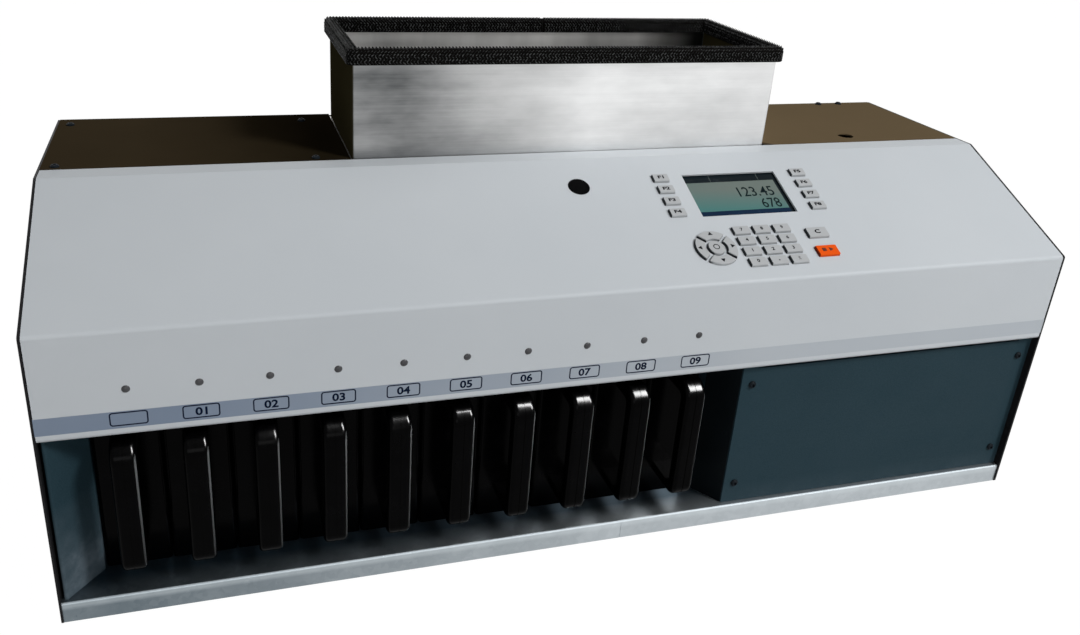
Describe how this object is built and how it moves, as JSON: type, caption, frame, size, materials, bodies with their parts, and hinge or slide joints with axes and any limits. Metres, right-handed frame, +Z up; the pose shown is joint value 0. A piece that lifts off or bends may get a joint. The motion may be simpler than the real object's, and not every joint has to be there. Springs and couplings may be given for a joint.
{
  "type": "coin sorting machine",
  "caption": "Table-top coin sorting machine with a coin hopper, keyed and hinged front cover, sorting disc and track, and a row of pull-out coin boxes.",
  "frame": {"origin": "middle of the overall box at the level of the feet's undersides", "axes": "+X to the user's right along the row of coin boxes, +Y from the user's side to the back, +Z up"},
  "size_m": [1.06, 0.3856, 0.496],
  "materials": {
    "cover_paint": "satin powder coat, cool grey white",
    "roof_paint": "satin, dark brown black",
    "side_paint": "satin black",
    "slate_paint": "fine texture, dark slate",
    "galvanised_sheet": "galvanised, faint spangle",
    "stainless": "brushed stainless",
    "edge_rubber": "ribbed black edge profile",
    "box_plastic": "glossy black moulding",
    "key_grey": "satin light grey",
    "key_orange": "satin orange",
    "display_face": "grey green display face",
    "lamp_lens": "clear grey lens",
    "plug_plastic": "matt black",
    "screw_black": "black oxide",
    "deck_aluminium": "machined plate",
    "disc_steel": "ground disc",
    "roller_steel": "turned",
    "belt_rubber": "matt dark belt",
    "chute_plastic": "matt dark grey",
    "inlet_plastic": "matt black",
    "foot_rubber": "matt black"
  },
  "bodies": {
    "housing": {"base_tray": "galvanised_sheet", "left_side_panel": "side_paint", "right_side_panel": "side_paint", "rear_panel": "roof_paint", "top_covers": "roof_paint", "feet": "foot_rubber", "cover_screws": "screw_black", "service_panel": "slate_paint", "bay_cheeks": "slate_paint", "hopper": "stainless", "hopper_edge_trim": "edge_rubber", "feed_belt": "belt_rubber", "sorter_deck": "deck_aluminium", "coin_chutes": "chute_plastic", "power_inlet": "inlet_plastic"},
    "cover": {"front_cover": "cover_paint", "display_module": "display_face", "cover_plug": "plug_plastic", "indicator_lenses": "lamp_lens"},
    "left_function_key_1": {"left_function_key_1": "key_grey"},
    "left_function_key_2": {"left_function_key_2": "key_grey"},
    "left_function_key_3": {"left_function_key_3": "key_grey"},
    "left_function_key_4": {"left_function_key_4": "key_grey"},
    "right_function_key_1": {"right_function_key_1": "key_grey"},
    "right_function_key_2": {"right_function_key_2": "key_grey"},
    "right_function_key_3": {"right_function_key_3": "key_grey"},
    "right_function_key_4": {"right_function_key_4": "key_grey"},
    "digit_0_key": {"digit_0_key": "key_grey"},
    "point_key": {"point_key": "key_grey"},
    "sign_key": {"sign_key": "key_grey"},
    "digit_1_key": {"digit_1_key": "key_grey"},
    "digit_2_key": {"digit_2_key": "key_grey"},
    "digit_3_key": {"digit_3_key": "key_grey"},
    "digit_4_key": {"digit_4_key": "key_grey"},
    "digit_5_key": {"digit_5_key": "key_grey"},
    "digit_6_key": {"digit_6_key": "key_grey"},
    "digit_7_key": {"digit_7_key": "key_grey"},
    "digit_8_key": {"digit_8_key": "key_grey"},
    "digit_9_key": {"digit_9_key": "key_grey"},
    "clear_key": {"clear_key": "key_grey"},
    "start_key": {"start_key": "key_orange"},
    "nav_right_key": {"nav_right_key": "key_grey"},
    "nav_up_key": {"nav_up_key": "key_grey"},
    "nav_left_key": {"nav_left_key": "key_grey"},
    "nav_down_key": {"nav_down_key": "key_grey"},
    "ok_key": {"ok_key": "key_grey"},
    "coin_box_1": {"coin_box_1": "box_plastic"},
    "coin_box_2": {"coin_box_2": "box_plastic"},
    "coin_box_3": {"coin_box_3": "box_plastic"},
    "coin_box_4": {"coin_box_4": "box_plastic"},
    "coin_box_5": {"coin_box_5": "box_plastic"},
    "coin_box_6": {"coin_box_6": "box_plastic"},
    "coin_box_7": {"coin_box_7": "box_plastic"},
    "coin_box_8": {"coin_box_8": "box_plastic"},
    "coin_box_9": {"coin_box_9": "box_plastic"},
    "coin_box_10": {"coin_box_10": "box_plastic"},
    "coin_disc": {"coin_disc": "disc_steel"},
    "feed_roller_drive": {"feed_roller_drive": "roller_steel"},
    "feed_roller_idle": {"feed_roller_idle": "roller_steel"},
    "rocker_switch": {"rocker_switch": "inlet_plastic"}
  },
  "joints": [
    {"name": "cover_hinge", "type": "hinge", "parent": "housing", "child": "cover", "pos_m": [0, 0.00125, 0.376], "axis": [-1, 0, 0], "range_deg": [0, 70]},
    {"name": "left_function_key_1_press", "type": "slide", "parent": "cover", "child": "left_function_key_1", "axis": [0, 0.4069, -0.9135], "range_m": [0, 0.0015], "stiffness_N_per_m": 400},
    {"name": "left_function_key_2_press", "type": "slide", "parent": "cover", "child": "left_function_key_2", "axis": [0, 0.4069, -0.9135], "range_m": [0, 0.0015], "stiffness_N_per_m": 400},
    {"name": "left_function_key_3_press", "type": "slide", "parent": "cover", "child": "left_function_key_3", "axis": [0, 0.4069, -0.9135], "range_m": [0, 0.0015], "stiffness_N_per_m": 400},
    {"name": "left_function_key_4_press", "type": "slide", "parent": "cover", "child": "left_function_key_4", "axis": [0, 0.4069, -0.9135], "range_m": [0, 0.0015], "stiffness_N_per_m": 400},
    {"name": "right_function_key_1_press", "type": "slide", "parent": "cover", "child": "right_function_key_1", "axis": [0, 0.4069, -0.9135], "range_m": [0, 0.0015], "stiffness_N_per_m": 400},
    {"name": "right_function_key_2_press", "type": "slide", "parent": "cover", "child": "right_function_key_2", "axis": [0, 0.4069, -0.9135], "range_m": [0, 0.0015], "stiffness_N_per_m": 400},
    {"name": "right_function_key_3_press", "type": "slide", "parent": "cover", "child": "right_function_key_3", "axis": [0, 0.4069, -0.9135], "range_m": [0, 0.0015], "stiffness_N_per_m": 400},
    {"name": "right_function_key_4_press", "type": "slide", "parent": "cover", "child": "right_function_key_4", "axis": [0, 0.4069, -0.9135], "range_m": [0, 0.0015], "stiffness_N_per_m": 400},
    {"name": "digit_0_key_press", "type": "slide", "parent": "cover", "child": "digit_0_key", "axis": [0, 0.4069, -0.9135], "range_m": [0, 0.0015], "stiffness_N_per_m": 400},
    {"name": "point_key_press", "type": "slide", "parent": "cover", "child": "point_key", "axis": [0, 0.4069, -0.9135], "range_m": [0, 0.0015], "stiffness_N_per_m": 400},
    {"name": "sign_key_press", "type": "slide", "parent": "cover", "child": "sign_key", "axis": [0, 0.4069, -0.9135], "range_m": [0, 0.0015], "stiffness_N_per_m": 400},
    {"name": "digit_1_key_press", "type": "slide", "parent": "cover", "child": "digit_1_key", "axis": [0, 0.4069, -0.9135], "range_m": [0, 0.0015], "stiffness_N_per_m": 400},
    {"name": "digit_2_key_press", "type": "slide", "parent": "cover", "child": "digit_2_key", "axis": [0, 0.4069, -0.9135], "range_m": [0, 0.0015], "stiffness_N_per_m": 400},
    {"name": "digit_3_key_press", "type": "slide", "parent": "cover", "child": "digit_3_key", "axis": [0, 0.4069, -0.9135], "range_m": [0, 0.0015], "stiffness_N_per_m": 400},
    {"name": "digit_4_key_press", "type": "slide", "parent": "cover", "child": "digit_4_key", "axis": [0, 0.4069, -0.9135], "range_m": [0, 0.0015], "stiffness_N_per_m": 400},
    {"name": "digit_5_key_press", "type": "slide", "parent": "cover", "child": "digit_5_key", "axis": [0, 0.4069, -0.9135], "range_m": [0, 0.0015], "stiffness_N_per_m": 400},
    {"name": "digit_6_key_press", "type": "slide", "parent": "cover", "child": "digit_6_key", "axis": [0, 0.4069, -0.9135], "range_m": [0, 0.0015], "stiffness_N_per_m": 400},
    {"name": "digit_7_key_press", "type": "slide", "parent": "cover", "child": "digit_7_key", "axis": [0, 0.4069, -0.9135], "range_m": [0, 0.0015], "stiffness_N_per_m": 400},
    {"name": "digit_8_key_press", "type": "slide", "parent": "cover", "child": "digit_8_key", "axis": [0, 0.4069, -0.9135], "range_m": [0, 0.0015], "stiffness_N_per_m": 400},
    {"name": "digit_9_key_press", "type": "slide", "parent": "cover", "child": "digit_9_key", "axis": [0, 0.4069, -0.9135], "range_m": [0, 0.0015], "stiffness_N_per_m": 400},
    {"name": "clear_key_press", "type": "slide", "parent": "cover", "child": "clear_key", "axis": [0, 0.4069, -0.9135], "range_m": [0, 0.0015], "stiffness_N_per_m": 400},
    {"name": "start_key_press", "type": "slide", "parent": "cover", "child": "start_key", "axis": [0, 0.4069, -0.9135], "range_m": [0, 0.0015], "stiffness_N_per_m": 400},
    {"name": "nav_right_key_press", "type": "slide", "parent": "cover", "child": "nav_right_key", "axis": [0, 0.4069, -0.9135], "range_m": [0, 0.0015], "stiffness_N_per_m": 400},
    {"name": "nav_up_key_press", "type": "slide", "parent": "cover", "child": "nav_up_key", "axis": [0, 0.4069, -0.9135], "range_m": [0, 0.0015], "stiffness_N_per_m": 400},
    {"name": "nav_left_key_press", "type": "slide", "parent": "cover", "child": "nav_left_key", "axis": [0, 0.4069, -0.9135], "range_m": [0, 0.0015], "stiffness_N_per_m": 400},
    {"name": "nav_down_key_press", "type": "slide", "parent": "cover", "child": "nav_down_key", "axis": [0, 0.4069, -0.9135], "range_m": [0, 0.0015], "stiffness_N_per_m": 400},
    {"name": "ok_key_press", "type": "slide", "parent": "cover", "child": "ok_key", "axis": [0, 0.4069, -0.9135], "range_m": [0, 0.0015], "stiffness_N_per_m": 400},
    {"name": "coin_box_1_slide", "type": "slide", "parent": "housing", "child": "coin_box_1", "axis": [0, -1, 0], "range_m": [0, 0.26]},
    {"name": "coin_box_2_slide", "type": "slide", "parent": "housing", "child": "coin_box_2", "axis": [0, -1, 0], "range_m": [0, 0.26]},
    {"name": "coin_box_3_slide", "type": "slide", "parent": "housing", "child": "coin_box_3", "axis": [0, -1, 0], "range_m": [0, 0.26]},
    {"name": "coin_box_4_slide", "type": "slide", "parent": "housing", "child": "coin_box_4", "axis": [0, -1, 0], "range_m": [0, 0.26]},
    {"name": "coin_box_5_slide", "type": "slide", "parent": "housing", "child": "coin_box_5", "axis": [0, -1, 0], "range_m": [0, 0.26]},
    {"name": "coin_box_6_slide", "type": "slide", "parent": "housing", "child": "coin_box_6", "axis": [0, -1, 0], "range_m": [0, 0.26]},
    {"name": "coin_box_7_slide", "type": "slide", "parent": "housing", "child": "coin_box_7", "axis": [0, -1, 0], "range_m": [0, 0.26]},
    {"name": "coin_box_8_slide", "type": "slide", "parent": "housing", "child": "coin_box_8", "axis": [0, -1, 0], "range_m": [0, 0.26]},
    {"name": "coin_box_9_slide", "type": "slide", "parent": "housing", "child": "coin_box_9", "axis": [0, -1, 0], "range_m": [0, 0.26]},
    {"name": "coin_box_10_slide", "type": "slide", "parent": "housing", "child": "coin_box_10", "axis": [0, -1, 0], "range_m": [0, 0.26]},
    {"name": "coin_disc_spin", "type": "hinge", "parent": "housing", "child": "coin_disc", "pos_m": [0.38, 0.00225, 0.255], "axis": [0, 0, 1], "continuous": true},
    {"name": "feed_roller_drive_spin", "type": "hinge", "parent": "housing", "child": "feed_roller_drive", "pos_m": [0.243, 0.01175, 0.351], "axis": [0, 1, 0], "continuous": true},
    {"name": "feed_roller_idle_spin", "type": "hinge", "parent": "housing", "child": "feed_roller_idle", "pos_m": [-0.204, 0.01175, 0.351], "axis": [0, 1, 0], "continuous": true},
    {"name": "rocker_switch_tilt", "type": "hinge", "parent": "housing", "child": "rocker_switch", "pos_m": [0.44, 0.18725, 0.117], "axis": [-1, 0, 0], "range_deg": [0, 16]}
  ],
  "couplings": [
    {"joint": "feed_roller_idle_spin", "follows": "feed_roller_drive_spin", "ratio": 1}
  ]
}
